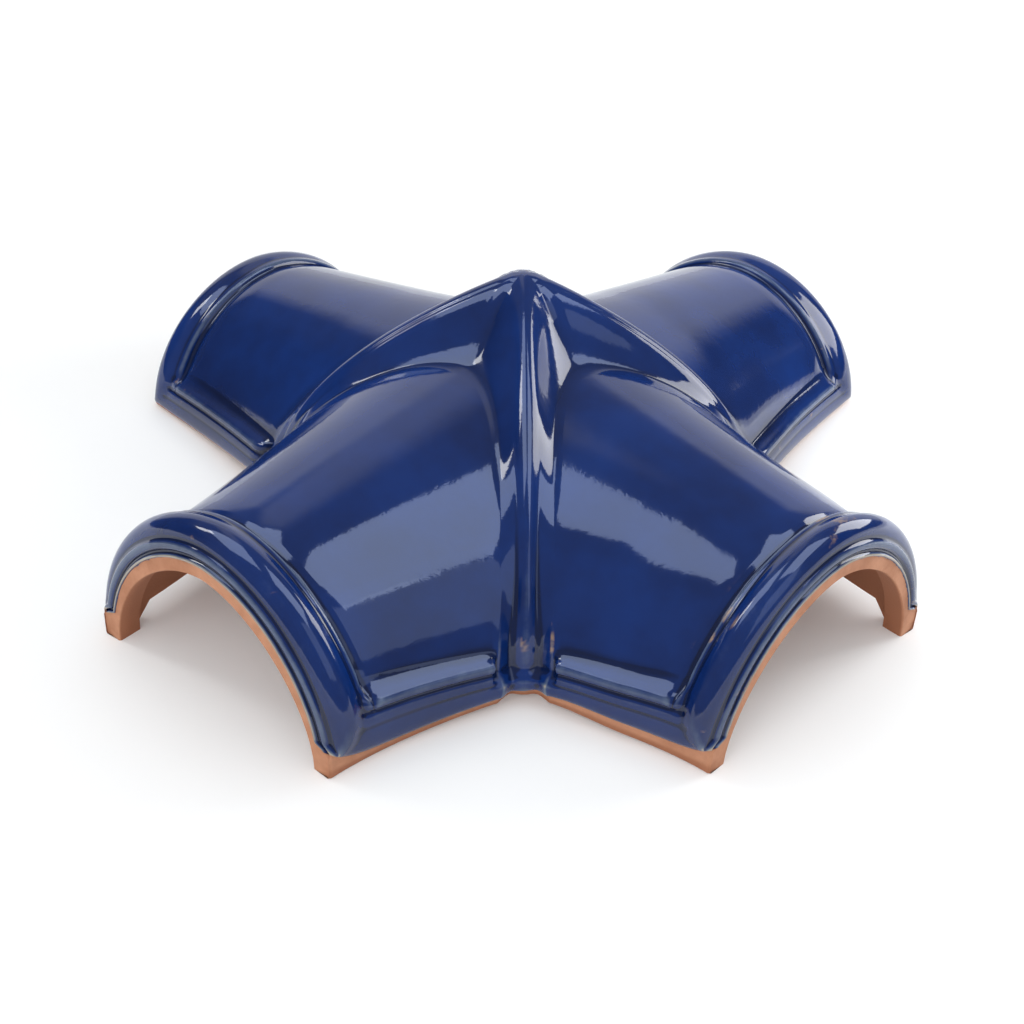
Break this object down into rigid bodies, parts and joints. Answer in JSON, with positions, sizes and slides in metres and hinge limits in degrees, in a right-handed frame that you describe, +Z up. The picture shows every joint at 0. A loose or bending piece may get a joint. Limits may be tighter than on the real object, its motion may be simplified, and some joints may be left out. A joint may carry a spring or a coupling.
{
  "type": "four-way apex ridge tile",
  "caption": "Hollow cross-shaped roof tile with arched arms, half-round rims and a ribbed crown, capping the point where ridge tiles meet.",
  "frame": {"origin": "middle of the tile's plan box, at the level its feet stand on", "axes": "+Z up, +X along the front-right arm, +Y along the rear-right arm, which is the longest"},
  "size_m": [0.5098, 0.544, 0.1645],
  "materials": {
    "cobalt_glaze": "glossy deep blue glaze over orange fired clay, which is bare on the end faces, feet and inside"
  },
  "bodies": {
    "root": {"apex_tile": "cobalt_glaze"}
  },
  "joints": []
}
